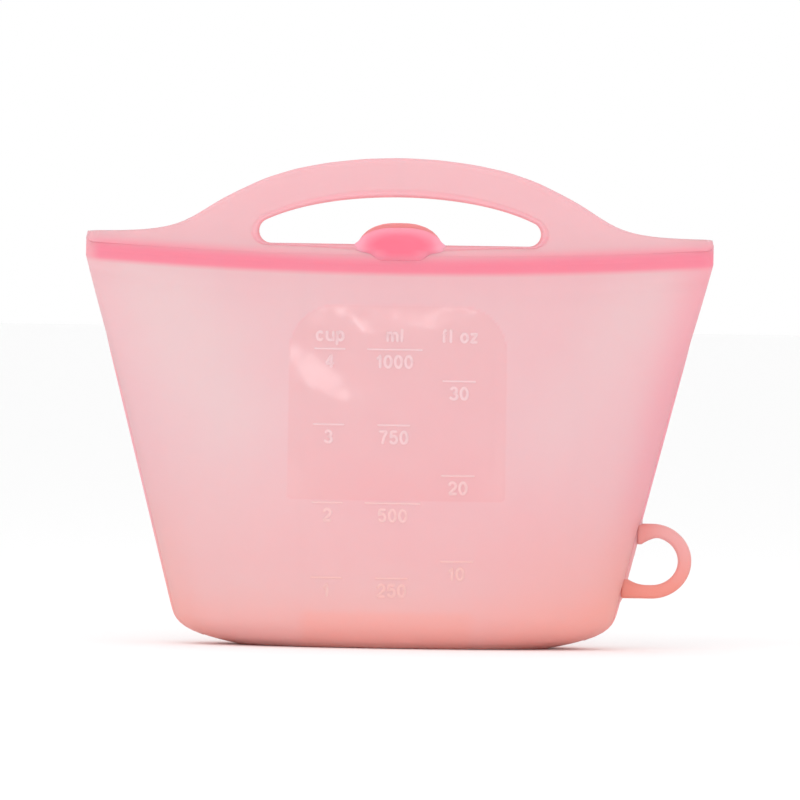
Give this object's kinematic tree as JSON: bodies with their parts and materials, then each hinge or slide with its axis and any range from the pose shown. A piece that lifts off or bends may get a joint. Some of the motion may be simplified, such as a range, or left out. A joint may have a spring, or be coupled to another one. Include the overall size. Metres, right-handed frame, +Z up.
{
  "type": "reusable silicone food storage bag",
  "caption": "Translucent silicone stand-up storage bag with a press-close mouth, arched hand-hole handles, centre pull tabs, raised volume scale and a side hanging ring.",
  "frame": {"origin": "centre of the base, on the surface the bag stands on", "axes": "+Z up, +X to the right seen from the front, where the hanging ring is; the measuring scale faces -Y"},
  "size_m": [0.226, 0.073, 0.1756],
  "materials": {
    "frosted_silicone": "translucent pink silicone rubber, fine frosted surface",
    "dense_silicone": "the same pink silicone where it is thick, more saturated",
    "polished_silicone": "translucent pink silicone rubber, polished clear window",
    "scale_relief": "raised matt silicone lines and figures"
  },
  "bodies": {
    "pouch": {"base_floor": "frosted_silicone", "lower_wall": "frosted_silicone", "left_side_seam": "dense_silicone", "right_side_seam": "dense_silicone", "left_ear": "dense_silicone", "right_ear": "dense_silicone", "ring_root": "dense_silicone", "low_level_marks": "scale_relief"},
    "front_wall": {"front_upper_wall": "frosted_silicone", "front_window": "polished_silicone", "front_zip_strip": "dense_silicone", "front_zip_rib": "dense_silicone", "front_handle": "frosted_silicone", "front_handle_bead": "frosted_silicone", "front_tab_pad": "dense_silicone", "cup_scale": "scale_relief", "ml_scale": "scale_relief", "fl_oz_scale": "scale_relief"},
    "back_wall": {"back_upper_wall": "frosted_silicone", "back_zip_channel": "dense_silicone", "back_handle": "frosted_silicone", "back_handle_bead": "frosted_silicone", "back_tab_pad": "dense_silicone"},
    "front_tab": {"front_pull_tab": "dense_silicone"},
    "back_tab": {"back_pull_tab": "dense_silicone"},
    "ring": {"hang_ring": "dense_silicone"}
  },
  "joints": [
    {"name": "front_wall_opens", "type": "hinge", "parent": "pouch", "child": "front_wall", "pos_m": [0, -0.036, 0.042], "axis": [1, 0, 0], "range_deg": [0, 18]},
    {"name": "back_wall_opens", "type": "hinge", "parent": "pouch", "child": "back_wall", "pos_m": [0, 0.036, 0.042], "axis": [-1, 0, 0], "range_deg": [0, 18]},
    {"name": "front_tab_bends", "type": "hinge", "parent": "front_wall", "child": "front_tab", "pos_m": [0, -0.0058, 0.14095], "axis": [1, 0, 0], "range_deg": [0, 40], "stiffness_Nm_per_rad": 0.004},
    {"name": "back_tab_bends", "type": "hinge", "parent": "back_wall", "child": "back_tab", "pos_m": [0, 0.0058, 0.14095], "axis": [-1, 0, 0], "range_deg": [0, 40], "stiffness_Nm_per_rad": 0.004},
    {"name": "ring_swings", "type": "hinge", "parent": "pouch", "child": "ring", "pos_m": [0.08828, 0, 0.032], "axis": [0.2475, 0, 0.9689], "range_deg": [-90, 90], "stiffness_Nm_per_rad": 0.004}
  ]
}
